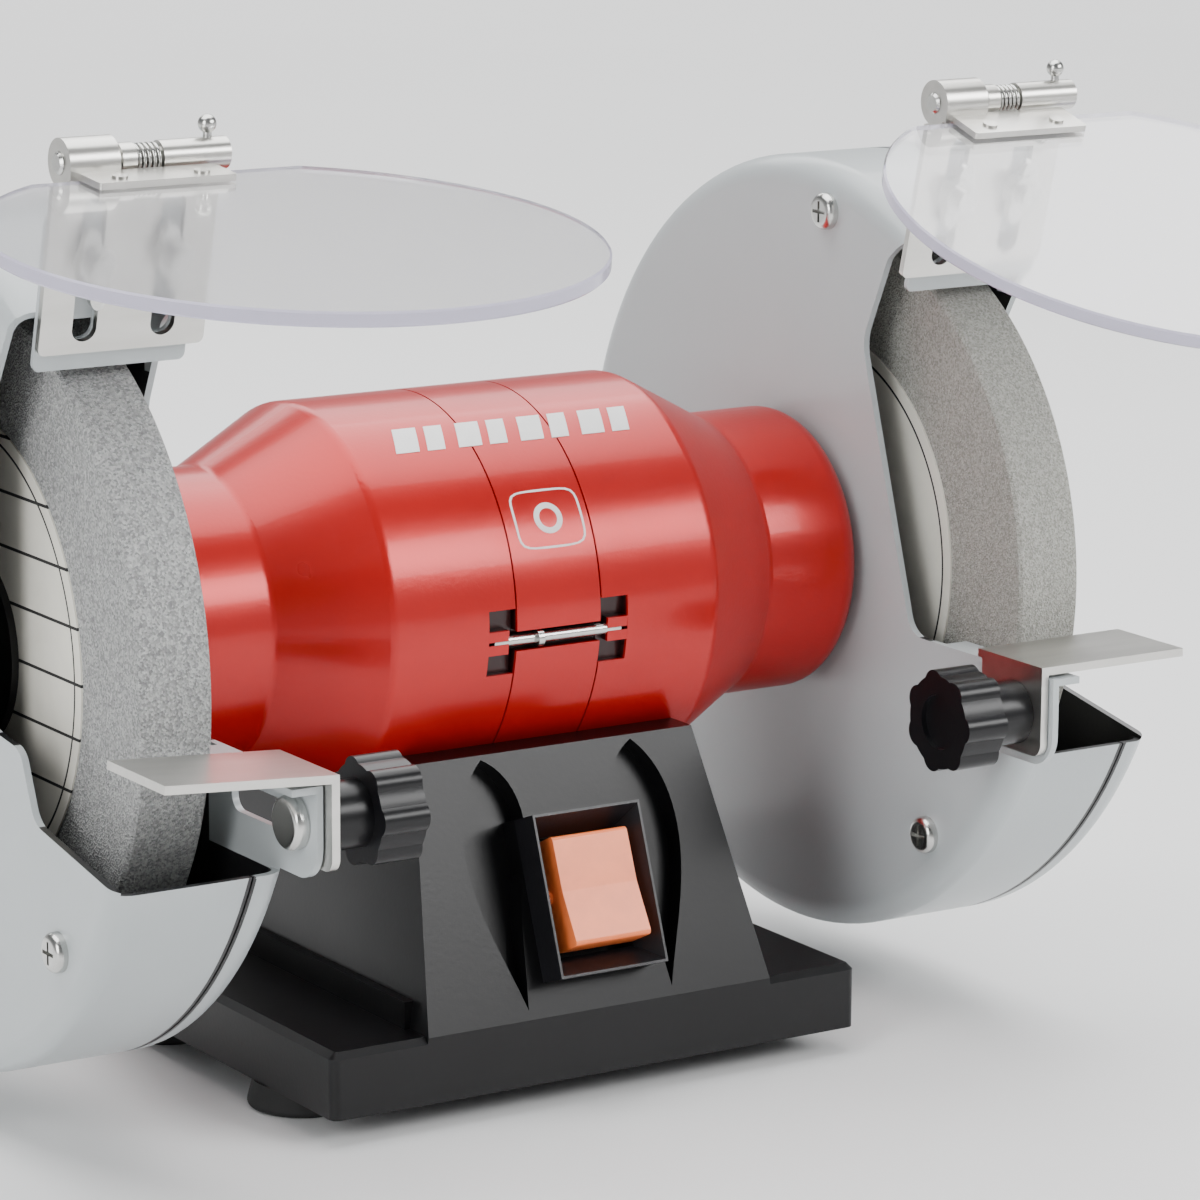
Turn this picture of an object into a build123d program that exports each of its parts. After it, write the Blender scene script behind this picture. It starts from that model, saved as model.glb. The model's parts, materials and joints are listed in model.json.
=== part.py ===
"""Bench grinder with two 150 mm wheels, guards, eye shields and tool rests.

Millimetres. +X runs along the spindle, the operator stands on the -Y side and +Z is up.
The origin is on the surface under the rubber feet, at the centre of the four bench bolts.
The wheel units are drawn on the +X side and mirrored in the YZ plane. The shield hinges
are not mirrored: both units carry the same hand of hinge.
"""
from build123d import *
import math
import os

os.makedirs("parts", exist_ok=True)

# ---------------------------------------------------------------- driving dimensions
AXIS_Z = 102.3            # spindle axis above the standing surface

FOOT_H = 6.0
FOOT_R = 12.5
BOLT_X = 112.0            # bench bolt spacing along X
BOLT_Y = 62.0             # bench bolt spacing along Y
BOLT_HOLE_R = 3.25
NUT_M6_AF = 10.0

BASE_W = 133.0
BASE_D = 125.2
DECK_Z = 20.6             # top of the skirt
DECK_EDGE = 1.4           # bevel round the deck
WALL = 2.5
PLATE_T = 1.5
PED_W0 = 86.8             # pedestal width at the deck
PED_W1 = 70.4             # pedestal width at its top
PED_D1 = 85.6             # pedestal depth at its top
PED_Z1 = 74.6             # pedestal top
LEDGE_H = 6.0
SADDLE_GAP = 0.1

MOTOR_R = 44.3
MOTOR_X = 40.6            # where the cone starts
CONE_X = 63.0             # where the cone ends
NECK_R = 32.4
NECK_X = 88.5
BOSS_R = 25.0
SHELL_T = 3.0
BAND_X = 10.5             # half width of the middle band
SEAM_GAP = 0.4            # groove between the band and the bells
LUG_ANGLE = -4.5          # motor tie screw, degrees above the front
LUG_R = 42.9              # tie screw centre
LUG_SCREW_R = 1.3
LUG_POCKET_R = 41.8
LUG_POCKET_X = 17.5
LUG_POCKET_H = 7.2

STATOR_X = 24.0
STATOR_R0 = 25.6
ROTOR_R = 25.2
BEARING_R = 17.5
BEARING_BORE_R = 7.5
BEARING_X0 = 75.5
BEARING_X1 = 86.5
BALL_R = 2.6
BALL_PITCH_R = 12.45
SPINDLE_R = 8.5
ARBOR_R = 6.35
ARBOR_FIT = 0.05
SHOULDER_X = 94.5
SPINDLE_END = 125.6

WHEEL_R = 75.0
WHEEL_X0 = 100.4
WHEEL_X1 = 116.4
BLOTTER_R = 49.5
BLOTTER_T = 0.4
FLANGE_R = 21.0
OUTER_FLANGE_X = 120.0
NUT_AF = 19.0
NUT_T = 5.0

GUARD_X0 = 90.0           # motor side of a guard
GUARD_X1_LEFT = 129.0     # outer face of the left cover
GUARD_X1_RIGHT = 127.4    # outer face of the right cover
GUARD_R = 89.5
GUARD_T = 1.5
SHOULDER_R = 6.0          # rounded edge between the guard's face and its rim
COVER_SHOULDER_R = 4.6
SEAM_RIGHT = 119.6        # the right guard has the wide rim
SEAM_LEFT = 98.5          # the left cover has the wide rim
RIM_GAP = 0.4
RIM_TOP_ANGLE = 59.0
BULGE_ANGLE = -75.0       # where the rim starts to open out, below the front
BULGE_R = 101.3
RIM_END_V = -33.0
POST_R = 3.6
SCREW_PCR = 80.0          # cover screws, radius from the spindle axis
SCREWS_LEFT = (80.0, -38.8, 198.0)
SCREWS_RIGHT = (80.0, -45.3, 198.0)
GUARD_SCREW_PCR = 22.0

EAR_TOP = -12.6           # tool rest ear, heights from the spindle axis
EAR_BOTTOM = -32.5
EAR_FRONT = 101.0
EAR_BACK = 60.0
EAR_LIP = 7.0
SLOT_BACK = 66.0
SLOT_FRONT = 97.0
SLOT_V = -21.4
SLOT_H = 6.4

REST_X0 = 87.9
REST_X1 = 126.5
REST_T = 1.8
REST_TOP = -10.0
REST_FLANGE_LOW = -30.0
REST_GAP = 13.4           # clamping bolt forward of the table's rear edge
BOLT_U_RIGHT = 90.0       # clamping bolts, forward of the spindle axis
BOLT_U_LEFT = 93.0
REST_DEPTH_RIGHT = 23.0
REST_DEPTH_LEFT = 24.4
REST_RISE_RIGHT = 0.0     # slope of the table up towards its outer end, degrees
REST_RISE_LEFT = 4.0
REST_BOLT_R = 3.0
KNOB_R = 11.4
KNOB_LOBES = 7
KNOB_FACE = 87.8
KNOB_STEP = 77.8
KNOB_END = 67.5

TAB_TILT = 14.0           # forward lean of the front tab, deflector and bracket
TAB_X = 105.5
TAB_U = 48.4              # front of the tab at its bolt line
TAB_V = 85.5
STUD_DX = 8.75
TAB_HALF = 16.0
LAYER_GAP = 0.1
DEFLECTOR_T = 1.2
DEFLECTOR_W = 34.0
DEFLECTOR_DX = 1.5
DEFLECTOR_LOW = -21.5
BRACKET_T = 1.5
BRACKET_W = 37.0
BRACKET_TOP = 20.8
BRACKET_LOW = -17.5
BRACKET_N0 = LAYER_GAP + DEFLECTOR_T + LAYER_GAP
STUD_SLOT_W = 5.4

HINGE_U = 57.0            # shield hinge axis, forward of and above the spindle axis
HINGE_V = 107.5
ROD_R = 2.25
ROD_FIT = 0.06
SLEEVE_R = 3.3
CLAMP_R = 5.0
CLAMP_X0 = -18.0
CLAMP_X1 = -7.0
SHIELD_R = 60.0
SHIELD_T = 3.0
SHIELD_DX = 3.0
SHIELD_DU = 57.2          # shield centre forward of the hinge
SHIELD_DV = -4.0          # middle of the shield below the hinge
SHIELD_BACK = 5.4
SHIELD_TILT_LEFT = 6.0
SHIELD_TILT_RIGHT = 18.0
RIVET_X = (-10.0, 8.0)
RIVET_U = 10.4
PIN_DX = 14.7             # upright pin through the hinge sleeve

PANEL_RUN = (BASE_D - PED_D1) / 2
PANEL_TILT = math.degrees(math.atan2(PANEL_RUN, PED_Z1 - DECK_Z))
SWITCH_S = 25.0           # switch centre, up the front panel from the deck
FRAME_W = 27.0
FRAME_H = 35.4
FRAME_N = 8.0
SWITCH_NECK_W = 22.4
SWITCH_NECK_H = 30.0
ROCKER_W = 18.8
ROCKER_H = 24.0
ROCKER_TILT = 6.0
ROCKER_N = 2.0            # rocker pivot height above the panel
PIVOT_R = 1.5
RECESS_DEPTH = 5.0

GLAND_X = 34.0            # cable gland on the rear of the skirt
GLAND_Z = 12.8
GLAND_R = 4.4
GLAND_BORE_R = 3.1
PLATE_SCREW_X = 58.0
MOTOR_SCREW_X = 25.0
CAP_R = 13.0
CAP_Y = 16.0


# ---------------------------------------------------------------- helpers
def at(x, u, v):
    """Point given by X, distance forward of the spindle axis and height above it."""
    return Vector(x, -u, AXIS_Z + v)


def slab(face, x0, x1):
    """Extrude an outline drawn in (forward, up) coordinates from x0 to x1."""
    plane = Plane(origin=at(x1, 0, 0), x_dir=(0, -1, 0), z_dir=(-1, 0, 0))
    return extrude(plane * face, amount=x1 - x0)


def rod_x(x0, x1, radius, u=0.0, v=0.0):
    return slab(Pos(u, v) * Circle(radius), x0, x1)


def polar(radius, degrees):
    angle = math.radians(degrees)
    return (radius * math.cos(angle), radius * math.sin(angle))


def polygon(points, rounds=()):
    """Closed outline; rounds lists (corner index, radius)."""
    face = make_face(Polyline(*points, close=True))
    for index, radius in rounds:
        corner = face.vertices().sort_by_distance(Vector(*points[index]))[0]
        face = fillet(corner, radius)
    return face


def turned(points, rounds=()):
    """Solid of revolution about the spindle from (x, radius) points."""
    plane = Plane(origin=at(0, 0, 0), x_dir=(1, 0, 0), z_dir=(0, -1, 0))
    return revolve(plane * polygon(points, rounds), Axis(at(0, 0, 0), (1, 0, 0)))


def on_plane(plane, face, n0, n1):
    """Extrude a face drawn on a plane from height n0 to n1 above it."""
    return extrude(plane * Pos(0, 0, n0) * face, amount=n1 - n0)


def column(x, y, z0, z1, radius):
    return Pos(x, y, (z0 + z1) / 2) * Cylinder(radius, z1 - z0)


def block(x0, x1, y0, y1, z0, z1):
    size = Box(x1 - x0, y1 - y0, z1 - z0)
    return Pos((x0 + x1) / 2, (y0 + y1) / 2, (z0 + z1) / 2) * size


def block_uv(x0, x1, u0, u1, v0, v1):
    return block(x0, x1, -u1, -u0, AXIS_Z + v0, AXIS_Z + v1)


def tall_slot(x, y0, y1, width):
    return Pos(x, (y0 + y1) / 2) * Rot(0, 0, 90) * SlotOverall(y1 - y0, width)


def flip(shape):
    return mirror(shape, about=Plane.YZ)


def solids_of(shapes):
    found = []
    for shape in shapes:
        found.extend(shape.solids())
    return found


def save(name, *shapes):
    solids = solids_of(shapes)
    out = solids[0] if len(solids) == 1 else Compound(children=solids)
    export_step(out, "parts/" + name + ".step")


def save_pair(name, *shapes):
    """Write the right-hand part and its mirror image."""
    save(name + "_right", *shapes)
    save(name + "_left", *[flip(s) for s in solids_of(shapes)])


TILT = math.radians(TAB_TILT)
FRONT_TAB = Plane(origin=at(TAB_X, TAB_U, TAB_V), x_dir=(1, 0, 0),
                  z_dir=(0, -math.cos(TILT), -math.sin(TILT)))
LEAN = math.radians(PANEL_TILT)
PANEL = Plane(origin=(0, -BASE_D / 2, DECK_Z), x_dir=(1, 0, 0),
              z_dir=(0, -math.cos(LEAN), math.sin(LEAN)))
GLAND = Plane(origin=(GLAND_X, BASE_D / 2, GLAND_Z), x_dir=(-1, 0, 0), z_dir=(0, 1, 0))
SWITCH = PANEL * Pos(0, SWITCH_S, 0)
BOLTS = [(sx * BOLT_X / 2, sy * BOLT_Y / 2) for sx in (-1, 1) for sy in (-1, 1)]


# ---------------------------------------------------------------- base
def pedestal(inset, z0, z1):
    """Tapered block of the pedestal, shrunk by inset on every side."""
    sections = []
    for z in (z0, z1):
        share = (z - DECK_Z) / (PED_Z1 - DECK_Z)
        width = PED_W0 + (PED_W1 - PED_W0) * share - 2 * inset
        depth = BASE_D + (PED_D1 - BASE_D) * share - 2 * inset
        sections.append(Pos(0, 0, z) * Rectangle(width, depth))
    return loft(sections)


def finger_recess():
    """Leaf-shaped recess beside the switch, on the +X half of the front panel."""
    tip = (19.0, 56.5)
    foot = (18.2, 2.0)
    outer = Spline(tip, (24.8, 48.5), (27.0, 38.0), (25.0, 22.7), (20.9, 10.2), foot)
    inner = Spline(foot, (17.0, 12.0), (14.6, 27.7), (11.2, 40.0), (12.0, 48.0), tip)
    leaf = make_face([outer, inner])
    clear = on_plane(SWITCH, Rectangle(FRAME_W, FRAME_H), -RECESS_DEPTH - 1, 3)
    return on_plane(PANEL, leaf, -RECESS_DEPTH, 2) - clear


def base_cavity():
    low = block(-BASE_W / 2 + WALL, BASE_W / 2 - WALL, -BASE_D / 2 + WALL, BASE_D / 2 - WALL,
                FOOT_H - 1, DECK_Z - WALL)
    cavity = low + pedestal(WALL, DECK_Z - WALL - 1, PED_Z1 - WALL)
    cavity = cavity - rod_x(-60, 60, MOTOR_R + SADDLE_GAP + WALL)
    backing = on_plane(PANEL, Pos(19.5, 30) * Rectangle(20, 64), -RECESS_DEPTH - WALL, 2)
    return cavity - backing - flip(backing)


def base_housing():
    skirt = block(-BASE_W / 2, BASE_W / 2, -BASE_D / 2, BASE_D / 2, FOOT_H, DECK_Z)
    skirt = fillet(skirt.edges().filter_by(Axis.Z), 2.0)
    skirt = chamfer(skirt.edges().group_by(Axis.Z)[-1], DECK_EDGE)
    envelope = block(-60, 60, -BASE_D / 2, BASE_D / 2, FOOT_H, AXIS_Z)
    body = skirt + (pedestal(0, DECK_Z - 3, PED_Z1) & envelope)
    for sx in (-1, 1):
        ledge_x = sx * PED_W0 / 2
        body = body + block(ledge_x - 1.2, ledge_x + 1.2, -BASE_D / 2 + 8, BASE_D / 2 - 8,
                            DECK_Z - 1, DECK_Z + LEDGE_H)
    body = body - rod_x(-60, 60, MOTOR_R + SADDLE_GAP) - base_cavity()
    recess = finger_recess()
    body = body - recess - flip(recess)
    body = body - on_plane(SWITCH, Rectangle(SWITCH_NECK_W + 0.2, SWITCH_NECK_H + 0.2), -20, 2)
    body = body - on_plane(GLAND, Circle(GLAND_R + 0.1), -10, 4)
    for x in (-MOTOR_SCREW_X, MOTOR_SCREW_X):
        body = body - column(x, 0, 50, 70, 2.6)
    for x in (-PLATE_SCREW_X, PLATE_SCREW_X):
        body = body + column(x, 0, FOOT_H + PLATE_T, DECK_Z - 1, 4.0)
        body = body - column(x, 0, FOOT_H, DECK_Z - 4, 1.75)
    return body


def bottom_plate():
    half_x = BASE_W / 2 - WALL - 0.2
    half_y = BASE_D / 2 - WALL - 0.2
    plate = block(-half_x, half_x, -half_y, half_y, FOOT_H, FOOT_H + PLATE_T)
    for x, y in BOLTS:
        plate = plate - column(x, y, 0, 20, BOLT_HOLE_R)
    for x in (-PLATE_SCREW_X, PLATE_SCREW_X):
        plate = plate - column(x, 0, 0, 20, 1.85)
    for i in range(6):
        plate = plate - Pos(0, -20 + 8 * i, 0) * extrude(SlotOverall(34, 3.0), amount=20)
    return plate


def rubber_feet():
    foot = Pos(0, 0, FOOT_H / 2) * Cone(FOOT_R, FOOT_R - 1.5, FOOT_H)
    foot = fillet(foot.edges().group_by(Axis.Z)[0], 1.2)
    foot = foot - Cylinder(BOLT_HOLE_R, 40)
    return [Pos(x, y, 0) * foot for x, y in BOLTS]


def captive_nuts():
    nut = extrude(RegularPolygon(NUT_M6_AF / 2, 6, major_radius=False), amount=5.0)
    nut = nut - Cylinder(BOLT_HOLE_R, 30)
    return [Pos(x, y, FOOT_H + PLATE_T) * nut for x, y in BOLTS]


def plate_screws():
    screw = column(0, 0, 4.2, FOOT_H, 3.4)
    screw = fillet(screw.edges().group_by(Axis.Z)[0], 0.9)
    screw = screw - block(-3.0, 3.0, -0.4, 0.4, 3.0, 4.9) - block(-0.4, 0.4, -3.0, 3.0, 3.0, 4.9)
    screw = screw + column(0, 0, FOOT_H - 0.1, DECK_Z - 5, 1.7)
    return [Pos(x, 0, 0) * screw for x in (-PLATE_SCREW_X, PLATE_SCREW_X)]


def cable_gland():
    thread = on_plane(GLAND, Circle(GLAND_R), -8, 1)
    hexagon = on_plane(GLAND, RegularPolygon(6.2, 6, major_radius=False), 0, 4.0)
    dome = extrude(GLAND * Pos(0, 0, 3.9) * Circle(5.8), amount=6.0, taper=10)
    gland = thread + hexagon + dome - on_plane(GLAND, Circle(GLAND_BORE_R), -12, 20)
    nut = on_plane(GLAND, Circle(5.1), -WALL - 3.0, -WALL)
    return [gland, nut - on_plane(GLAND, Circle(GLAND_R + 0.05), -12, 0)]


def start_capacitor():
    can = Pos(0, CAP_Y, FOOT_H + PLATE_T + CAP_R + 1) * Rot(0, 90, 0) * Cylinder(CAP_R, 52)
    can = fillet(can.edges(), 1.5)
    cradle = block(-20, 20, CAP_Y - 9, CAP_Y + 9, FOOT_H + PLATE_T, FOOT_H + PLATE_T + 5)
    return can + cradle


def terminal_block():
    z0 = FOOT_H + PLATE_T
    body = block(-17, 17, -22, -8, z0, z0 + 9)
    for i in range(3):
        x = -11 + 11 * i
        body = body + block(x - 4, x + 4, -19, -11, z0 + 9, z0 + 14)
        body = body - column(x, -15, z0 + 8, z0 + 16, 2.0)
    return body


# ---------------------------------------------------------------- switch
def switch_frame():
    neck = on_plane(SWITCH, Rectangle(SWITCH_NECK_W, SWITCH_NECK_H), -6, 0.5)
    bezel = extrude(SWITCH * Rectangle(FRAME_W, FRAME_H), amount=FRAME_N)
    well = on_plane(SWITCH, Rectangle(ROCKER_W + 0.7, ROCKER_H + 2.0), -7, FRAME_N + 1)
    floor = SWITCH * Pos(0, 0, 1) * Rectangle(ROCKER_W + 0.7, ROCKER_H + 2.0)
    mouth = SWITCH * Pos(0, 0, FRAME_N + 0.1) * Rectangle(FRAME_W - 1.0, FRAME_H - 1.0)
    pivot = SWITCH * Pos(0, 0, ROCKER_N) * Rot(0, 90, 0) * Cylinder(PIVOT_R + 0.05, 22.8)
    return neck + bezel - well - loft([floor, mouth]) - pivot


def switch_body():
    body = on_plane(SWITCH, Rectangle(SWITCH_NECK_W, SWITCH_NECK_H), -22, -6)
    for i in range(4):
        tab = Pos(-6 + 12 * (i % 2), -8 + 16 * (i // 2)) * Rectangle(6.3, 0.8)
        body = body + on_plane(SWITCH, tab, -30, -21.5)
    return body


def rocker():
    half = ROCKER_H / 2
    points = [(-half, 6.8), (0, 5.8), (half, 6.8), (half, -1.5), (8, -4.0), (-8, -4.0), (-half, -1.5)]
    face = polygon(points, [(0, 1.0), (2, 1.0)])
    plane = Plane(origin=(-ROCKER_W / 2, 0, 0), x_dir=(0, 1, 0), z_dir=(1, 0, 0))
    key = extrude(plane * face, amount=ROCKER_W)
    key = key + Rot(0, 90, 0) * Cylinder(PIVOT_R, 22.0)
    return SWITCH * Pos(0, 0, ROCKER_N) * Rot(-ROCKER_TILT, 0, 0) * key


# ---------------------------------------------------------------- motor
def front_and_rear(tool):
    """Turn a tool at the front of the motor to the tie screw, and repeat it at the rear."""
    front = tool.rotate(Axis(at(0, 0, 0), (1, 0, 0)), -LUG_ANGLE)
    return front + mirror(front, about=Plane.XZ)


def motor_bell():
    inner_r = MOTOR_R - SHELL_T
    seam = BAND_X + SEAM_GAP
    points = [
        (seam, inner_r), (seam, MOTOR_R), (MOTOR_X, MOTOR_R), (CONE_X, NECK_R), (NECK_X, NECK_R),
        (NECK_X, BOSS_R), (GUARD_X0, BOSS_R), (GUARD_X0, 9.5), (BEARING_X1, 9.5),
        (BEARING_X1, BEARING_R), (BEARING_X0, BEARING_R), (BEARING_X0, 27.0), (84.0, 27.0),
        (84.0, NECK_R - SHELL_T), (CONE_X - 1.0, NECK_R - SHELL_T), (MOTOR_X - 1.0, inner_r),
    ]
    bell = turned(points, [(2, 4.0), (3, 3.0), (4, 5.5)])
    for angle in (90, 210, 330):
        u, v = polar(GUARD_SCREW_PCR, angle)
        bell = bell - rod_x(74, 95, 2.5, u, v)
    half = LUG_POCKET_H
    pocket = block_uv(seam - 1, LUG_POCKET_X, LUG_POCKET_R, 50, -half, half)
    lug = block_uv(seam + 1.6, LUG_POCKET_X + 1, LUG_POCKET_R - 1, 44.2, -2.6, 2.6)
    bell = bell - front_and_rear(pocket - lug)
    bell = bell - front_and_rear(rod_x(0, 24, LUG_SCREW_R + 0.05, LUG_R, 0))
    return bell - column(MOTOR_SCREW_X, 0, 50, 62, 2.45)


def stator_band():
    inner_r = MOTOR_R - SHELL_T
    band = rod_x(-BAND_X, BAND_X, MOTOR_R) - rod_x(-30, 30, inner_r)
    groove = block_uv(-BAND_X - 1, BAND_X + 1, LUG_POCKET_R - 0.3, 50, -2.2, 2.2)
    return band - front_and_rear(groove)


def motor_tie_screws():
    shank = rod_x(-16.0, 16.0, LUG_SCREW_R, LUG_R, 0)
    head = rod_x(-5.4, -4.0, 1.9, LUG_R + 0.5, 0)
    return front_and_rear(shank + head - rod_x(-40, 40, LUG_POCKET_R - 0.25))


def stator_core():
    core = rod_x(-STATOR_X, STATOR_X, MOTOR_R - SHELL_T) - rod_x(-40, 40, STATOR_R0)
    slot = block_uv(-40, 40, STATOR_R0 - 1, 35, -1.6, 1.6)
    for i in range(24):
        core = core - slot.rotate(Axis(at(0, 0, 0), (1, 0, 0)), 15 * i)
    return core


def stator_windings():
    ring = turned([(STATOR_X, 27.0), (STATOR_X + 10, 27.0), (STATOR_X + 10, 38.5), (STATOR_X, 38.5)],
                  [(1, 3.0), (2, 4.0)])
    return [ring, flip(ring)]


def motor_base_screws():
    head = column(MOTOR_SCREW_X, 0, 51.6, 55.05, 4.2)
    screw = head + column(MOTOR_SCREW_X, 0, 55, 60.8, 2.4)
    screw = screw - extrude(Pos(MOTOR_SCREW_X, 0, 50) * RegularPolygon(2.0, 6), amount=3.5)
    return [screw, flip(screw)]


# ---------------------------------------------------------------- bearings and rotor
def bearing_outer():
    ring = turned([(BEARING_X0, 14.6), (BEARING_X1, 14.6), (BEARING_X1, BEARING_R), (BEARING_X0, BEARING_R)])
    return ring - ball_track(BALL_R + 0.3)


def bearing_inner():
    ring = turned([(BEARING_X0, BEARING_BORE_R), (BEARING_X1, BEARING_BORE_R), (BEARING_X1, 10.3),
                   (BEARING_X0, 10.3)])
    return ring - ball_track(BALL_R)


def ball_track(radius):
    middle = (BEARING_X0 + BEARING_X1) / 2
    return Location(at(middle, 0, 0), (0, 90, 0)) * Torus(BALL_PITCH_R, radius)


def bearing_balls():
    """Nine balls joined by their cage."""
    middle = (BEARING_X0 + BEARING_X1) / 2
    cage = turned([(middle - 1.3, 11.9), (middle + 1.3, 11.9), (middle + 1.3, 13.0), (middle - 1.3, 13.0)])
    for i in range(9):
        u, v = polar(BALL_PITCH_R, 40 * i)
        cage = cage + Pos(*at(middle, u, v)) * Sphere(BALL_R)
    return cage


def spindle():
    end = SPINDLE_END
    points = [
        (-end, 0), (-end, ARBOR_R), (-SHOULDER_X, ARBOR_R), (-SHOULDER_X, BEARING_BORE_R),
        (-BEARING_X0, BEARING_BORE_R), (-BEARING_X0, SPINDLE_R), (BEARING_X0, SPINDLE_R),
        (BEARING_X0, BEARING_BORE_R), (SHOULDER_X, BEARING_BORE_R), (SHOULDER_X, ARBOR_R),
        (end, ARBOR_R), (end, 0),
    ]
    return turned(points, [(1, 0.8), (10, 0.8)])


def rotor_core():
    points = [
        (-STATOR_X - 5, 13), (-STATOR_X - 5, 23.5), (-STATOR_X, 23.5), (-STATOR_X, ROTOR_R),
        (STATOR_X, ROTOR_R), (STATOR_X, 23.5), (STATOR_X + 5, 23.5), (STATOR_X + 5, 13),
        (STATOR_X, 13), (STATOR_X, SPINDLE_R), (-STATOR_X, SPINDLE_R), (-STATOR_X, 13),
    ]
    return turned(points)


def inner_flange():
    bore = ARBOR_R + ARBOR_FIT
    seat = WHEEL_X0 - BLOTTER_T
    return turned([(SHOULDER_X, bore), (SHOULDER_X, 15.0), (96.5, FLANGE_R), (seat, FLANGE_R),
                   (seat, 16.0), (seat - 1.6, 15.5), (seat - 1.6, bore)])


def outer_flange():
    bore = ARBOR_R + ARBOR_FIT
    seat = WHEEL_X1 + BLOTTER_T
    return turned([(seat, 16.0), (seat, FLANGE_R), (OUTER_FLANGE_X - 1.6, FLANGE_R),
                   (OUTER_FLANGE_X, 14.0), (OUTER_FLANGE_X, bore), (seat + 1.6, bore), (seat + 1.6, 15.5)])


def wheel():
    disc = rod_x(WHEEL_X0, WHEEL_X1, WHEEL_R)
    disc = chamfer(disc.edges().filter_by(GeomType.CIRCLE), 0.7)
    return disc - rod_x(90, 130, ARBOR_R + ARBOR_FIT)


def blotters():
    bore = rod_x(90, 130, ARBOR_R + ARBOR_FIT)
    inner = rod_x(WHEEL_X0 - BLOTTER_T, WHEEL_X0, BLOTTER_R) - bore
    outer = rod_x(WHEEL_X1, WHEEL_X1 + BLOTTER_T, BLOTTER_R) - bore
    return [inner, outer]


def spindle_nut():
    face = RegularPolygon(NUT_AF / 2, 6, major_radius=False)
    nut = slab(face, OUTER_FLANGE_X, OUTER_FLANGE_X + NUT_T)
    cone = turned([(OUTER_FLANGE_X - 1, 0), (OUTER_FLANGE_X - 1, 12), (OUTER_FLANGE_X + NUT_T - 1.6, 12),
                   (OUTER_FLANGE_X + NUT_T, 9.4), (OUTER_FLANGE_X + NUT_T, 0)])
    return (nut & cone) - rod_x(110, 130, ARBOR_R + ARBOR_FIT)


# ---------------------------------------------------------------- wheel guards
BULGE_C = polar(BULGE_R - GUARD_R, BULGE_ANGLE + 180)


def guard_outline(shrink):
    """Outline of the guard drum. A shrunken outline runs on forward, so the front stays open."""
    radius = GUARD_R - shrink
    bulge = BULGE_R - shrink
    top = polar(radius, RIM_TOP_ANGLE)
    back = polar(radius, (RIM_TOP_ANGLE + 360 + BULGE_ANGLE) / 2)
    low = polar(radius, BULGE_ANGLE)
    end_angle = math.degrees(math.asin((RIM_END_V - BULGE_C[1]) / bulge))
    mid = polar(bulge, (BULGE_ANGLE + end_angle) / 2)
    end = polar(bulge, end_angle)
    mid = (mid[0] + BULGE_C[0], mid[1] + BULGE_C[1])
    end = (end[0] + BULGE_C[0], end[1] + BULGE_C[1])
    rim = ThreePointArc(top, back, low)
    flare = ThreePointArc(low, mid, end)
    if shrink == 0:
        return make_face([rim, flare, Line(end, top)])
    far = polar(300, RIM_TOP_ANGLE)
    front = Polyline(end, (250, end[1]), far, top)
    return make_face([rim, flare, front])


def guard_drum(face_x, open_x, shoulder):
    """Thin drum with a plate at face_x and a rounded edge, open at open_x and to the front."""
    low, high = min(face_x, open_x), max(face_x, open_x)
    outer = slab(guard_outline(0), low, high)
    edges = outer.edges().filter_by(GeomType.CIRCLE).filter_by(lambda e: abs(e.center().X - face_x) < 0.01)
    outer = fillet(edges, shoulder)
    step = GUARD_T if open_x > face_x else -GUARD_T
    run = 1 if open_x > face_x else -1
    low, high = min(face_x + step, open_x + run), max(face_x + step, open_x + run)
    inner = slab(guard_outline(GUARD_T), low, high)
    edges = inner.edges().filter_by(GeomType.CIRCLE)
    edges = edges.filter_by(lambda e: abs(e.center().X - face_x - step) < 0.01)
    inner = fillet(edges, shoulder - GUARD_T)
    return outer - inner


def ahead_of_tab():
    return on_plane(FRONT_TAB, Rectangle(80, 60), 0, 60)


def screw_posts(angles, base_x, tip_x):
    """Posts that stand on one half of a guard, drilled from the tip for the cover screws."""
    low, high = min(base_x, tip_x), max(base_x, tip_x)
    step = 14 if base_x > tip_x else -14
    drill_low, drill_high = min(tip_x, tip_x + step), max(tip_x, tip_x + step)
    posts = []
    for angle in angles:
        u, v = polar(SCREW_PCR, angle)
        posts.append(rod_x(low, high, POST_R, u, v) - rod_x(drill_low, drill_high, 2.05, u, v))
    return posts


def inner_guard(seam):
    guard = guard_drum(GUARD_X0, seam, SHOULDER_R)
    face_end = GUARD_X0 + GUARD_T
    mouth = polygon([(46.6, 78), (37.4, 71), (28, 51), (48.5, EAR_TOP), (200, EAR_TOP), (200, 200), (46.6, 200)],
                    [(1, 5.0), (2, 10.0), (3, 6.0)])
    guard = guard - slab(mouth, GUARD_X0 - 1, face_end + 0.01)
    ear = polygon([(EAR_BACK, EAR_TOP), (EAR_FRONT, EAR_TOP), (EAR_FRONT, EAR_BOTTOM), (EAR_BACK, EAR_BOTTOM)],
                  [(2, 7.0)])
    guard = guard + slab(ear, GUARD_X0, face_end)
    guard = guard + block_uv(GUARD_X0, GUARD_X0 + EAR_LIP, EAR_BACK, EAR_FRONT, EAR_TOP - GUARD_T, EAR_TOP)
    slot = Pos((SLOT_BACK + SLOT_FRONT) / 2, SLOT_V) * SlotOverall(SLOT_FRONT - SLOT_BACK, SLOT_H)
    guard = guard - slab(slot, GUARD_X0 - 1, face_end + 1)
    guard = guard - rod_x(GUARD_X0 - 1, face_end + 1, 13.0)
    for angle in (90, 210, 330):
        guard = guard - rod_x(GUARD_X0 - 1, face_end + 1, 2.6, *polar(GUARD_SCREW_PCR, angle))
    return guard - ahead_of_tab()


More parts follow.
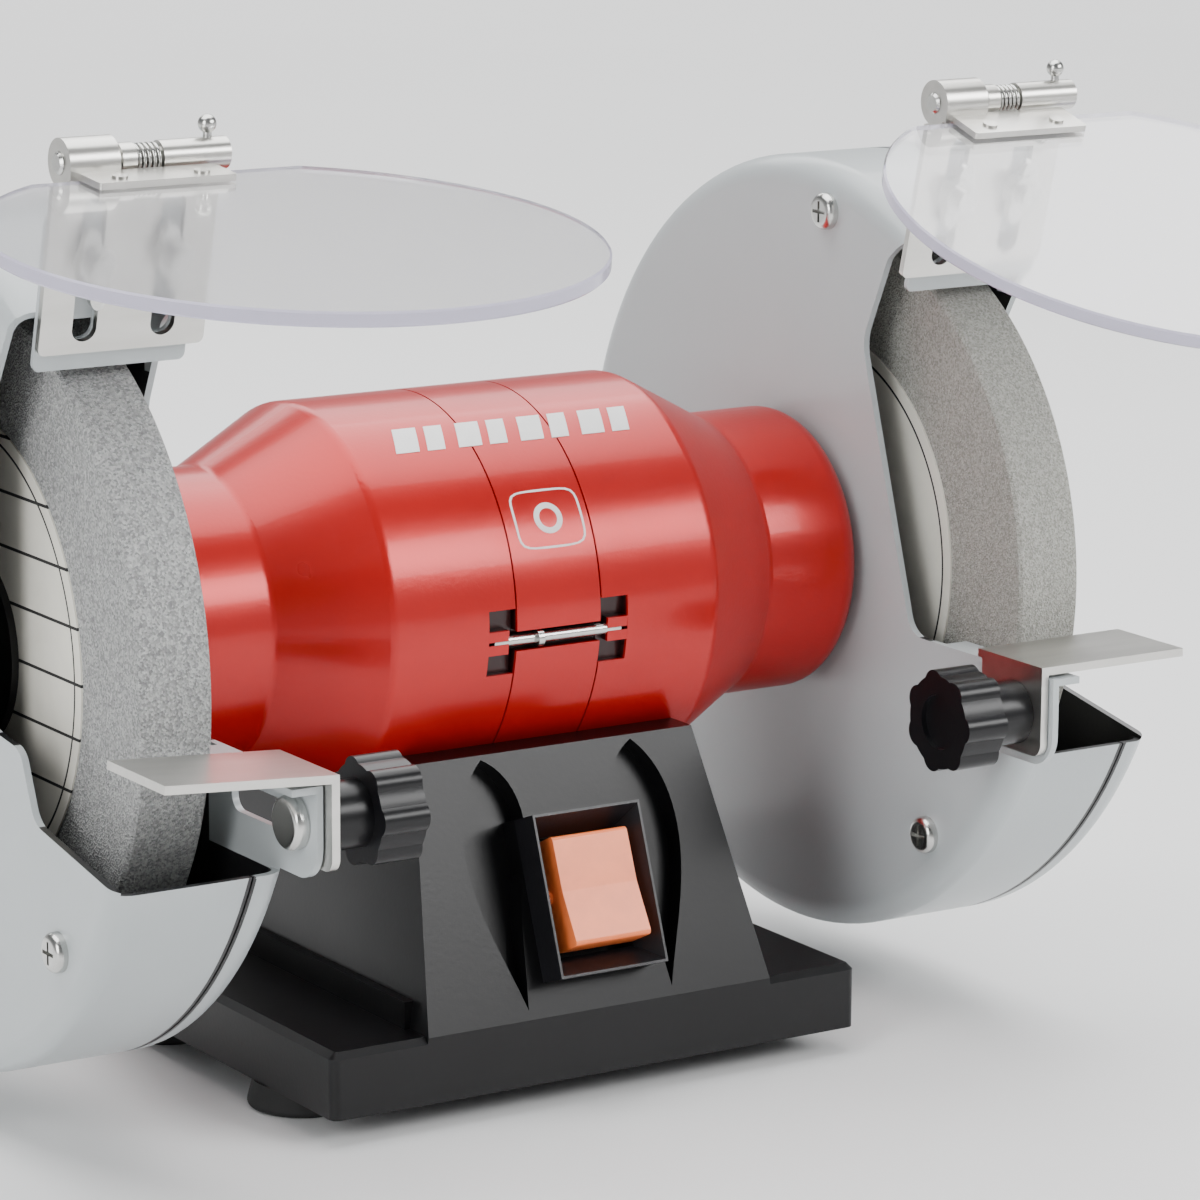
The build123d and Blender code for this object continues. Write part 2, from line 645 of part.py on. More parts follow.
def outer_cover(seam, face_x):
    cover = guard_drum(face_x, seam + RIM_GAP, COVER_SHOULDER_R)
    mouth = polygon([(46.6, 78), (30, 50), (30, -10), (46, -12), (52, -26), (90, -33), (200, -33), (200, 200),
                     (46.6, 200)], [(1, 6.0), (2, 6.0), (3, 5.0), (4, 6.0)])
    cover = cover - slab(mouth, face_x - GUARD_T - 0.01, face_x + 1)
    return cover - ahead_of_tab()


def screw_holes(angles, face_x):
    return [rod_x(face_x - 3, face_x + 3, 2.2, *polar(SCREW_PCR, angle)) for angle in angles]


def front_tab(foot_x0, foot_x1):
    """Upright tab that carries the deflector and the shield bracket, joined to a rim at its foot."""
    plate = on_plane(FRONT_TAB, Pos(0, 1.2) * RectangleRounded(2 * TAB_HALF, 19.2, 2.0), -GUARD_T, 0)
    foot = Pos((foot_x0 + foot_x1) / 2 - TAB_X, -8.6) * Rectangle(foot_x1 - foot_x0, 5.2)
    plate = plate + on_plane(FRONT_TAB, foot, -GUARD_T, 0)
    for x in (-STUD_DX, STUD_DX):
        plate = plate - on_plane(FRONT_TAB, Pos(x, 0) * Circle(2.55), -5, 5)
    return plate


def guard_screws():
    found = []
    for angle in (90, 210, 330):
        u, v = polar(GUARD_SCREW_PCR, angle)
        head = fillet(rod_x(GUARD_X0 + GUARD_T, 94.0, 4.0, u, v).edges().sort_by(Axis.X)[-1], 1.2)
        found.append(head + rod_x(78, GUARD_X0 + GUARD_T + 0.1, 2.45, u, v))
    return found + [flip(s) for s in found]


def cover_screws(angles, face_x):
    """Screws whose heads stand on the -X side of the plate at face_x."""
    found = []
    for angle in angles:
        u, v = polar(SCREW_PCR, angle)
        head = rod_x(face_x - 2.6, face_x, 4.2, u, v)
        head = fillet(head.edges().sort_by(Axis.X)[0], 1.6)
        head = head - block_uv(face_x - 4, face_x - 1.4, u - 2.4, u + 2.4, v - 0.4, v + 0.4)
        head = head - block_uv(face_x - 4, face_x - 1.4, u - 0.4, u + 0.4, v - 2.4, v + 2.4)
        found.append(head + rod_x(face_x - 0.1, face_x + 12, 2.0, u, v))
    return found


# ---------------------------------------------------------------- deflector, bracket and shield
def bracket_bolts():
    found = []
    for x in (-STUD_DX, STUD_DX):
        head = on_plane(FRONT_TAB, Pos(x, 0) * Circle(4.4), -GUARD_T - 2.2, -GUARD_T)
        head = fillet(head.edges().sort_by(Axis.Y)[-1], 1.0)
        found.append(head + on_plane(FRONT_TAB, Pos(x, 0) * Circle(2.5), -GUARD_T - 0.1, 9.0))
    return found + [flip(s) for s in found]


def wing_nuts():
    found = []
    base = BRACKET_N0 + BRACKET_T + LAYER_GAP
    for x in (-STUD_DX, STUD_DX):
        nut = on_plane(FRONT_TAB, Pos(x, 0) * Circle(4.0), base, base + 3.6)
        for sign in (-1, 1):
            wing = on_plane(FRONT_TAB, Pos(x + sign * 1.2, sign * 4.0) * Ellipse(2.0, 3.4),
                            base + 0.8, base + 2.6)
            nut = nut + wing
        found.append(nut - on_plane(FRONT_TAB, Pos(x, 0) * Circle(2.5), 0, 20))
    return found + [flip(s) for s in found]


def deflector():
    high = 9.0
    middle = (DEFLECTOR_LOW + high) / 2
    plate = Pos(DEFLECTOR_DX, middle) * RectangleRounded(DEFLECTOR_W, high - DEFLECTOR_LOW, 1.5)
    for x in (-STUD_DX, STUD_DX):
        plate = plate - tall_slot(x, -15.0, 3.6, STUD_SLOT_W)
    return on_plane(FRONT_TAB, plate, LAYER_GAP, LAYER_GAP + DEFLECTOR_T)


def hinge_rod(x0, x1, radius):
    return rod_x(TAB_X + x0, TAB_X + x1, radius, HINGE_U, HINGE_V)


def hinge_pin():
    """Upright pin that crosses the sleeve and holds the hinge rod."""
    z0 = AXIS_Z + HINGE_V
    return column(TAB_X + PIN_DX, -HINGE_U, z0, z0 + 5.2, 0.9)


def shield_bracket():
    middle = (BRACKET_LOW + BRACKET_TOP) / 2
    face = Pos(0, middle) * RectangleRounded(BRACKET_W, BRACKET_TOP - BRACKET_LOW, 1.5)
    for x in (-STUD_DX, STUD_DX):
        face = face - tall_slot(x, -15.0, 12.9, STUD_SLOT_W)
    plate = on_plane(FRONT_TAB, face, BRACKET_N0, BRACKET_N0 + BRACKET_T)
    plate = plate - hinge_rod(CLAMP_X0 - 2, CLAMP_X1 + 0.6, CLAMP_R + 0.5)
    plate = plate + hinge_rod(3.5, 18.5, SLEEVE_R) + hinge_rod(-5.6, -2.4, SLEEVE_R)
    return plate - hinge_rod(-30, 30, ROD_R) - hinge_pin()


def shield_hinge_rod():
    rod = hinge_rod(-18.7, 18.7, ROD_R)
    rod = chamfer(rod.edges().filter_by(GeomType.CIRCLE), 0.5)
    ball = Pos(TAB_X + PIN_DX, -HINGE_U, AXIS_Z + HINGE_V + 5.9) * Sphere(1.9)
    return rod + hinge_pin() + ball


def tilted(shape, degrees):
    """Swing a shield part down about the hinge."""
    return shape.rotate(Axis(at(TAB_X, HINGE_U, HINGE_V), (1, 0, 0)), degrees)


def block_hinge(x0, x1, u0, u1, v0, v1):
    return block_uv(TAB_X + x0, TAB_X + x1, HINGE_U + u0, HINGE_U + u1, HINGE_V + v0, HINGE_V + v1)


def eye_shield(tilt):
    top = SHIELD_DV + SHIELD_T / 2
    z0 = AXIS_Z + HINGE_V + SHIELD_DV
    disc = Pos(TAB_X + SHIELD_DX, -HINGE_U - SHIELD_DU, z0) * Cylinder(SHIELD_R, SHIELD_T)
    disc = chamfer(disc.edges().filter_by(GeomType.CIRCLE), 0.4)
    disc = disc - block_hinge(-40, 40, -10, SHIELD_BACK, top - SHIELD_T - 1, top + 1)
    for x in RIVET_X:
        disc = disc - column(TAB_X + x, -HINGE_U - RIVET_U, z0 - 4, z0 + 4, 1.6)
    return tilted(disc, tilt)


def shield_clamp(tilt):
    """Hub on the hinge rod with a two-jaw grip riveted through the shield."""
    top = SHIELD_DV + SHIELD_T / 2
    low = top - SHIELD_T
    z0 = AXIS_Z + HINGE_V + SHIELD_DV
    jaws = block_hinge(-16, 14, SHIELD_BACK - 1.4, 14, low - 1.4, top + 1.4)
    jaws = fillet(jaws.edges().filter_by(Axis.Z), 0.6)
    jaws = jaws - block_hinge(-17, 15, SHIELD_BACK, 20, low, top)
    clamp = jaws + hinge_rod(CLAMP_X0, CLAMP_X1, CLAMP_R)
    clamp = clamp + block_hinge(CLAMP_X0, CLAMP_X1, 1.8, 5.0, top, 0)
    for x in RIVET_X:
        clamp = clamp + column(TAB_X + x, -HINGE_U - RIVET_U, z0 - 3.4, z0 + 3.4, 1.6)
    return tilted(clamp - hinge_rod(-30, 30, ROD_R + ROD_FIT), tilt)


def to_left(shape):
    """Carry a right-hand unit part over to the left unit without mirroring it."""
    return Pos(-2 * TAB_X, 0, 0) * shape


# ---------------------------------------------------------------- tool rests
def tool_rest(bolt_u, depth, rise):
    back = bolt_u - REST_GAP
    front = back + depth
    table = block_uv(REST_X0, REST_X1, back, front, REST_TOP - REST_T, REST_TOP)
    table = table.rotate(Axis(at(REST_X0, 0, REST_TOP), (0, -1, 0)), rise)
    flange = block_uv(REST_X0, REST_X0 + REST_T, back + 1.5, front, REST_FLANGE_LOW, REST_TOP)
    flange = fillet(flange.edges().filter_by(Axis.X).group_by(Axis.Z)[0], 3.0)
    rest = table + flange
    return rest - rod_x(REST_X0 - 1, REST_X0 + 3, REST_BOLT_R + 0.05, bolt_u, SLOT_V)


def rest_bolt(bolt_u):
    head_x = GUARD_X0 + GUARD_T + 0.15
    head = rod_x(head_x, head_x + 3.0, 5.6, bolt_u, SLOT_V)
    head = fillet(head.edges().sort_by(Axis.X)[-1], 1.4)
    return head + rod_x(KNOB_STEP - 4, head_x + 0.1, REST_BOLT_R, bolt_u, SLOT_V)


def rest_knob(bolt_u):
    outline = Circle(KNOB_R - 1.2)
    for i in range(KNOB_LOBES):
        outline = outline + Pos(*polar(KNOB_R - 3.2, 360 * i / KNOB_LOBES)) * Circle(3.2)
    head = slab(Pos(bolt_u, SLOT_V) * outline, KNOB_END, KNOB_STEP)
    dish = rod_x(KNOB_END - 1, KNOB_END + 1.2, 6.0, bolt_u, SLOT_V)
    knob = head - dish + rod_x(KNOB_STEP - 0.1, KNOB_FACE, 7.0, bolt_u, SLOT_V)
    return knob - rod_x(KNOB_STEP - 4.5, KNOB_FACE + 1, REST_BOLT_R + 0.06, bolt_u, SLOT_V)


# ---------------------------------------------------------------- write every node
save("base_housing", base_housing())
save("bottom_plate", bottom_plate())
save("rubber_feet", *rubber_feet())
save("captive_nuts", *captive_nuts())
save("plate_screws", *plate_screws())
save("cable_gland", *cable_gland())
save("start_capacitor", start_capacitor())
save("terminal_block", terminal_block())
save("switch_frame", switch_frame())
save("switch_body", switch_body())
save("rocker", rocker())
save_pair("motor_bell", motor_bell())
save("stator_band", stator_band())
save("stator_core", stator_core())
save("stator_windings", *stator_windings())
save("motor_tie_screws", motor_tie_screws())
save("motor_base_screws", *motor_base_screws())
save_pair("bearing_outer", bearing_outer())
save_pair("bearing_inner", bearing_inner())
save_pair("bearing_balls", bearing_balls())
save("spindle", spindle())
save("rotor_core", rotor_core())
save_pair("inner_flange", inner_flange())
save_pair("outer_flange", outer_flange())
save_pair("wheel", wheel())
save_pair("blotters", *blotters())
save_pair("spindle_nut", spindle_nut())
right_guard = inner_guard(SEAM_RIGHT) + front_tab(TAB_X - TAB_HALF + 1, SEAM_RIGHT)
right_cover = outer_cover(SEAM_RIGHT, GUARD_X1_RIGHT)
right_cover = right_cover + screw_posts(SCREWS_RIGHT, GUARD_X1_RIGHT - GUARD_T, GUARD_X0 + GUARD_T)
left_guard = inner_guard(SEAM_LEFT)
left_guard = left_guard + screw_posts(SCREWS_LEFT, GUARD_X0 + GUARD_T, GUARD_X1_LEFT - GUARD_T)
left_cover = outer_cover(SEAM_LEFT, GUARD_X1_LEFT) + front_tab(SEAM_LEFT + 2 * RIM_GAP, TAB_X + TAB_HALF)
save("inner_guard_right", right_guard - screw_holes(SCREWS_RIGHT, GUARD_X0))
save("inner_guard_left", flip(left_guard))
save("outer_cover_right", right_cover)
save("outer_cover_left", flip(left_cover - screw_holes(SCREWS_LEFT, GUARD_X1_LEFT)))
save("guard_screws", *guard_screws())
save("cover_screws", *cover_screws(SCREWS_RIGHT, GUARD_X0), *cover_screws(SCREWS_LEFT, -GUARD_X1_LEFT))
save("bracket_bolts", *bracket_bolts())
save("wing_nuts", *wing_nuts())
save_pair("deflector", deflector())
save("shield_bracket_right", shield_bracket())
save("shield_bracket_left", to_left(shield_bracket()))
save("hinge_rod_right", shield_hinge_rod())
save("hinge_rod_left", to_left(shield_hinge_rod()))
save("eye_shield_right", eye_shield(SHIELD_TILT_RIGHT))
save("eye_shield_left", to_left(eye_shield(SHIELD_TILT_LEFT)))
save("shield_clamp_right", shield_clamp(SHIELD_TILT_RIGHT))
save("shield_clamp_left", to_left(shield_clamp(SHIELD_TILT_LEFT)))
save("tool_rest_right", tool_rest(BOLT_U_RIGHT, REST_DEPTH_RIGHT, REST_RISE_RIGHT))
save("tool_rest_left", flip(tool_rest(BOLT_U_LEFT, REST_DEPTH_LEFT, REST_RISE_LEFT)))
save("rest_bolt_right", rest_bolt(BOLT_U_RIGHT))
save("rest_bolt_left", flip(rest_bolt(BOLT_U_LEFT)))
save("rest_knob_right", rest_knob(BOLT_U_RIGHT))
save("rest_knob_left", flip(rest_knob(BOLT_U_LEFT)))
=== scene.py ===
import json
import math
import bpy
import bmesh
from mathutils import Matrix, Vector


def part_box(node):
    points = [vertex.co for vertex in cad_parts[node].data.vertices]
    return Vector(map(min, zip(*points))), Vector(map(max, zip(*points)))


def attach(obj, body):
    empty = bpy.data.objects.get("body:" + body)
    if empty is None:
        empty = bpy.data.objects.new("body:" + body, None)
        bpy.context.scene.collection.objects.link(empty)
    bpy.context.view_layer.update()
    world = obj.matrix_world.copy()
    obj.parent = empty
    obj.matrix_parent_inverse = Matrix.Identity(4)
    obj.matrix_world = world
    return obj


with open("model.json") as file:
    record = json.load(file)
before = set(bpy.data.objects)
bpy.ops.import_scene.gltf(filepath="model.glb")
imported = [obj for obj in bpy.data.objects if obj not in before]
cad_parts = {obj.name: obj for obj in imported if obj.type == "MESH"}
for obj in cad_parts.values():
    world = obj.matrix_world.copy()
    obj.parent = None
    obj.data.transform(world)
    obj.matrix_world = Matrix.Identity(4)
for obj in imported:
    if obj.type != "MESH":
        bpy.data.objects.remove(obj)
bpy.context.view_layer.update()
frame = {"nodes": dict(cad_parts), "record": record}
nodes = frame["nodes"]
scene = bpy.context.scene
AXIS_Z = 0.1023
MOTOR_R = 0.0443
SEAM_LEFT = 0.0987
SEAM_RIGHT = 0.1198
SEAM_HALF = 0.00095          # half width of the black strip at a guard's seam
GUARD_MIDDLE = 0.109         # middle of a guard along X
EAR_FRONT_OF = -0.056        # the tool rest's ear lies in front of this y
EAR_ABOVE = -0.0335          # and above this height over the spindle
POCKET_END = 0.0182          # the tie screw pockets end at this |x|
POCKET_EDGE = 0.0008         # surface this far under the motor's outside takes the pockets' painted shade
RULE_SPACING = 0.0115
RULE_SHARE = 0.06
OUTER_BLOTTER_X = 0.116      # the blotter outside a wheel lies past this |x|
PRINT_RING_R = 0.0465
MARK_LIFT = 0.00012          # the markings stand this far off the motor
ROD_R = 0.00225


# ------------------------------------------------------------------ camera
def add_camera():
    """The camera stands left of and a little above the grinder, level with its front."""
    data = bpy.data.cameras.new("camera")
    data.sensor_width = 36.0
    data.lens = 151.28
    data.shift_x = 0.0135
    data.shift_y = -0.0032
    data.clip_start = 0.1
    data.clip_end = 20.0
    camera = bpy.data.objects.new("camera", data)
    scene.collection.objects.link(camera)
    az, el, roll = math.radians(-32.3), math.radians(12.0), math.radians(0.3)
    back = Vector((math.sin(az) * math.cos(el), -math.cos(az) * math.cos(el), math.sin(el)))
    level = Vector((math.cos(az), math.sin(az), 0))
    up = back.cross(level)
    right = math.cos(roll) * level + math.sin(roll) * up
    up = back.cross(right)
    matrix = Matrix((right, up, back)).transposed().to_4x4()
    matrix.translation = Vector((-0.5603, -0.9404, 0.3323))
    camera.matrix_world = matrix
    scene.camera = camera


add_camera()


# ------------------------------------------------------------------ material helpers
def new_material(name):
    mat = bpy.data.materials.new(name)
    mat.use_nodes = True
    tree = mat.node_tree
    shader = tree.nodes["Principled BSDF"]
    return mat, tree, shader


def put(tree, kind, **values):
    """Add a node, setting attributes by name and input sockets by 'in_' plus index."""
    node = tree.nodes.new(kind)
    for key, value in values.items():
        if key.startswith("in_"):
            node.inputs[int(key[3:])].default_value = value
        else:
            setattr(node, key, value)
    return node


def coords(tree, scale=(1, 1, 1)):
    tex = put(tree, "ShaderNodeTexCoord")
    mapping = put(tree, "ShaderNodeMapping")
    mapping.inputs["Scale"].default_value = scale
    tree.links.new(tex.outputs["Object"], mapping.inputs["Vector"])
    return mapping.outputs["Vector"]


def noise(tree, vector, scale, detail=3.0, rough=0.5):
    node = put(tree, "ShaderNodeTexNoise")
    node.inputs["Scale"].default_value = scale
    node.inputs["Detail"].default_value = detail
    node.inputs["Roughness"].default_value = rough
    tree.links.new(vector, node.inputs["Vector"])
    return node.outputs["Fac"]


def ramp(tree, value, stops):
    node = put(tree, "ShaderNodeValToRGB")
    elements = node.color_ramp.elements
    while len(elements) < len(stops):
        elements.new(0.5)
    for element, (at, colour) in zip(elements, stops):
        element.position = at
        element.color = colour if len(colour) == 4 else (*colour, 1)
    tree.links.new(value, node.inputs["Fac"])
    return node.outputs["Color"]


def spread(tree, value, low, high):
    node = put(tree, "ShaderNodeMapRange")
    node.inputs["To Min"].default_value = low
    node.inputs["To Max"].default_value = high
    tree.links.new(value, node.inputs["Value"])
    return node.outputs["Result"]


def bump(tree, shader, height, strength, distance):
    node = put(tree, "ShaderNodeBump")
    node.inputs["Strength"].default_value = strength
    node.inputs["Distance"].default_value = distance
    tree.links.new(height, node.inputs["Height"])
    tree.links.new(node.outputs["Normal"], shader.inputs["Normal"])


def basic(name, colour, rough, metallic=0.0, vary=0.06, scale=60.0, bump_h=0.0, bump_scale=400.0,
          coat=0.0, stretch=(1, 1, 1), specular=0.5):
    """Surface with a little variation in colour and roughness and an optional fine grain."""
    mat, tree, shader = new_material(name)
    vector = coords(tree, stretch)
    cloud = noise(tree, vector, scale, 4.0, 0.6)
    dark = tuple(c * (1 - vary) for c in colour)
    light = tuple(min(1.0, c * (1 + vary)) for c in colour)
    tree.links.new(ramp(tree, cloud, [(0.3, dark), (0.7, light)]), shader.inputs["Base Color"])
    roughness = spread(tree, cloud, rough * (1 - vary), min(1.0, rough * (1 + vary)))
    tree.links.new(roughness, shader.inputs["Roughness"])
    shader.inputs["Metallic"].default_value = metallic
    shader.inputs["Coat Weight"].default_value = coat
    shader.inputs["Specular IOR Level"].default_value = specular
    shader.inputs["Coat Roughness"].default_value = 0.08
    if bump_h:
        bump(tree, shader, noise(tree, vector, bump_scale, 3.0, 0.6), 1.0, bump_h)
    return mat


def math_node(tree, operation, a, b=None, c=None):
    """Maths on values. Each operand is a number or an output socket."""
    node = put(tree, "ShaderNodeMath", operation=operation)
    for socket, operand in zip(node.inputs, (a, b, c)):
        if operand is None:
            continue
        if isinstance(operand, (int, float)):
            socket.default_value = operand
        else:
            tree.links.new(operand, socket)
    return node.outputs[0]


def place(tree):
    """Position in the row frame: x, y, height over the spindle and distance from the spindle."""
    tex = put(tree, "ShaderNodeTexCoord")
    split = put(tree, "ShaderNodeSeparateXYZ")
    tree.links.new(tex.outputs["Object"], split.inputs[0])
    x, y, z = split.outputs
    height = math_node(tree, "SUBTRACT", z, AXIS_Z)
    square_y = math_node(tree, "MULTIPLY", y, y)
    square_h = math_node(tree, "MULTIPLY", height, height)
    radius = math_node(tree, "SQRT", math_node(tree, "ADD", square_y, square_h))
    return tex, x, y, height, radius


def over_colour(tree, shader, mask, colour):
    """Lay a plain colour over the base colour where the mask is 1."""
    mix = put(tree, "ShaderNodeMix", data_type="RGBA")
    base = shader.inputs["Base Color"].links[0].from_socket
    tree.links.new(mask, mix.inputs[0])
    tree.links.new(base, mix.inputs[6])
    mix.inputs[7].default_value = (*colour, 1)
    tree.links.new(mix.outputs[2], shader.inputs["Base Color"])


def paint_red():
    """Gloss red, with painted shade in the sunk pockets round the tie screws: their floors are coloured
    near black.
    """
    mat = basic("motor_paint", (0.46, 0.004, 0.003), 0.28, metallic=0.30, vary=0.05, scale=40,
                bump_h=0.00003, bump_scale=900, coat=0.15)
    tree = mat.node_tree
    tex, x, y, height, radius = place(tree)
    near = math_node(tree, "LESS_THAN", math_node(tree, "ABSOLUTE", x), POCKET_END)
    sunk = math_node(tree, "LESS_THAN", radius, MOTOR_R - POCKET_EDGE)
    pocket_shade = math_node(tree, "MULTIPLY", near, sunk)
    # painted shade: the pocket floors are coloured near black to stand for the shade inside the pockets
    over_colour(tree, tree.nodes["Principled BSDF"], pocket_shade, (0.02, 0.001, 0.001))
    return mat


def paint_guard():
    """Silver grey enamel, with painted shade on the inside of the guards (coloured near black) and a black
    strip at each seam.
    """
    mat = basic("guard_paint", (0.44, 0.475, 0.485), 0.34, vary=0.03, scale=20, bump_h=0.00003,
                bump_scale=700, coat=0.2)
    tree = mat.node_tree
    tex, x, y, height, radius = place(tree)
    away = math_node(tree, "ABSOLUTE", x)
    left = math_node(tree, "LESS_THAN", x, 0.0)
    seam = math_node(tree, "MULTIPLY_ADD", left, SEAM_LEFT - SEAM_RIGHT, SEAM_RIGHT)
    off_seam = math_node(tree, "ABSOLUTE", math_node(tree, "SUBTRACT", away, seam))
    strip = math_node(tree, "LESS_THAN", off_seam, SEAM_HALF)
    normal = put(tree, "ShaderNodeSeparateXYZ")
    tree.links.new(tex.outputs["Normal"], normal.inputs[0])
    nx, ny, nz = normal.outputs
    side = math_node(tree, "MULTIPLY_ADD", left, -2.0, 1.0)
    out_x = math_node(tree, "MULTIPLY", math_node(tree, "SUBTRACT", away, GUARD_MIDDLE), side)
    along_x = math_node(tree, "MULTIPLY", nx, out_x)
    along_y = math_node(tree, "MULTIPLY", ny, y)
    along_z = math_node(tree, "MULTIPLY", nz, height)
    facing = math_node(tree, "ADD", along_x, math_node(tree, "ADD", along_y, along_z))
    # painted shade: faces turned in towards the wheel are coloured near black, except on the rest's ear
    # and the top tab
    inside_shade = math_node(tree, "LESS_THAN", facing, -0.004)
    ahead = math_node(tree, "LESS_THAN", y, EAR_FRONT_OF)
    ear = math_node(tree, "MULTIPLY", ahead, math_node(tree, "GREATER_THAN", height, EAR_ABOVE))
    ear = math_node(tree, "MULTIPLY", ear, math_node(tree, "LESS_THAN", away, 0.098))
    high = math_node(tree, "GREATER_THAN", height, 0.060)
    tab = math_node(tree, "MULTIPLY", high, math_node(tree, "LESS_THAN", y, -0.03))
    painted = math_node(tree, "SUBTRACT", 1.0, math_node(tree, "MAXIMUM", ear, tab))
    inside_shade = math_node(tree, "MULTIPLY", inside_shade, painted)
    strip = math_node(tree, "MULTIPLY", strip, math_node(tree, "GREATER_THAN", radius, 0.085))
    strip = math_node(tree, "MULTIPLY", strip, painted)
    inside_shade_and_seam = math_node(tree, "MAXIMUM", inside_shade, strip)
    # near black over the painted shade inside the guards and over the seam strips
    over_colour(tree, tree.nodes["Principled BSDF"], inside_shade_and_seam, (0.006, 0.006, 0.007))
    return mat


def blotter():
    """Paper disc with plain ruled lines on its front half and a thin circle near its edge."""
    mat = basic("blotter_paper", (0.74, 0.72, 0.64), 0.85, vary=0.05, scale=80,
                bump_h=0.00003, bump_scale=900)
    tree = mat.node_tree
    tex, x, y, height, radius = place(tree)
    share = math_node(tree, "FRACT", math_node(tree, "DIVIDE", height, RULE_SPACING))
    rule = math_node(tree, "LESS_THAN", share, RULE_SHARE)
    outer = math_node(tree, "GREATER_THAN", math_node(tree, "ABSOLUTE", x), OUTER_BLOTTER_X)
    front = math_node(tree, "LESS_THAN", y, -0.006)
    rule = math_node(tree, "MULTIPLY", math_node(tree, "MULTIPLY", rule, outer), front)
    off_ring = math_node(tree, "ABSOLUTE", math_node(tree, "SUBTRACT", radius, PRINT_RING_R))
    ring = math_node(tree, "LESS_THAN", off_ring, 0.0003)
    ink = math_node(tree, "MAXIMUM", rule, ring)
    over_colour(tree, tree.nodes["Principled BSDF"], ink, (0.02, 0.02, 0.02))
    return mat


def abrasive(name, dark, mid, light, grain):
    """Bonded grit: coloured grains with pores between them."""
    mat, tree, shader = new_material(name)
    vector = coords(tree)
    cells = put(tree, "ShaderNodeTexVoronoi")
    cells.inputs["Scale"].default_value = grain
    tree.links.new(vector, cells.inputs["Vector"])
    tint = put(tree, "ShaderNodeSeparateColor")
    tree.links.new(cells.outputs["Color"], tint.inputs["Color"])
    colour = ramp(tree, tint.outputs["Red"], [(0.0, dark), (0.45, mid), (1.0, light)])
    cloud = noise(tree, vector, grain * 0.35, 5.0, 0.7)
    mix = put(tree, "ShaderNodeMix", data_type="RGBA", blend_type="MULTIPLY")
    mix.inputs["Factor"].default_value = 0.55
    tree.links.new(colour, mix.inputs["A"])
    tree.links.new(ramp(tree, cloud, [(0.3, (0.55, 0.55, 0.55)), (0.65, (1, 1, 1))]), mix.inputs["B"])
    tree.links.new(mix.outputs["Result"], shader.inputs["Base Color"])
    shader.inputs["Roughness"].default_value = 0.85
    bump(tree, shader, cells.outputs["Distance"], 0.9, 0.0004)
    return mat


def clear_plastic():
    mat, tree, shader = new_material("shield_clear")
    vector = coords(tree)
    smear = noise(tree, vector, 14.0, 3.0, 0.5)
    tree.links.new(spread(tree, smear, 0.03, 0.09), shader.inputs["Roughness"])
    tex = put(tree, "ShaderNodeTexCoord")
    split = put(tree, "ShaderNodeSeparateXYZ")
    tree.links.new(tex.outputs["Normal"], split.inputs[0])
    rim = math_node(tree, "LESS_THAN", math_node(tree, "ABSOLUTE", split.outputs[2]), 0.8)
    tree.links.new(ramp(tree, rim, [(0.0, (0.985, 0.98, 0.995)), (1.0, (0.66, 0.63, 0.80))]),
                   shader.inputs["Base Color"])
    tree.links.new(math_node(tree, "MULTIPLY_ADD", rim, -0.55, 0.90), shader.inputs["Transmission Weight"])
    shader.inputs["IOR"].default_value = 1.35
    return mat


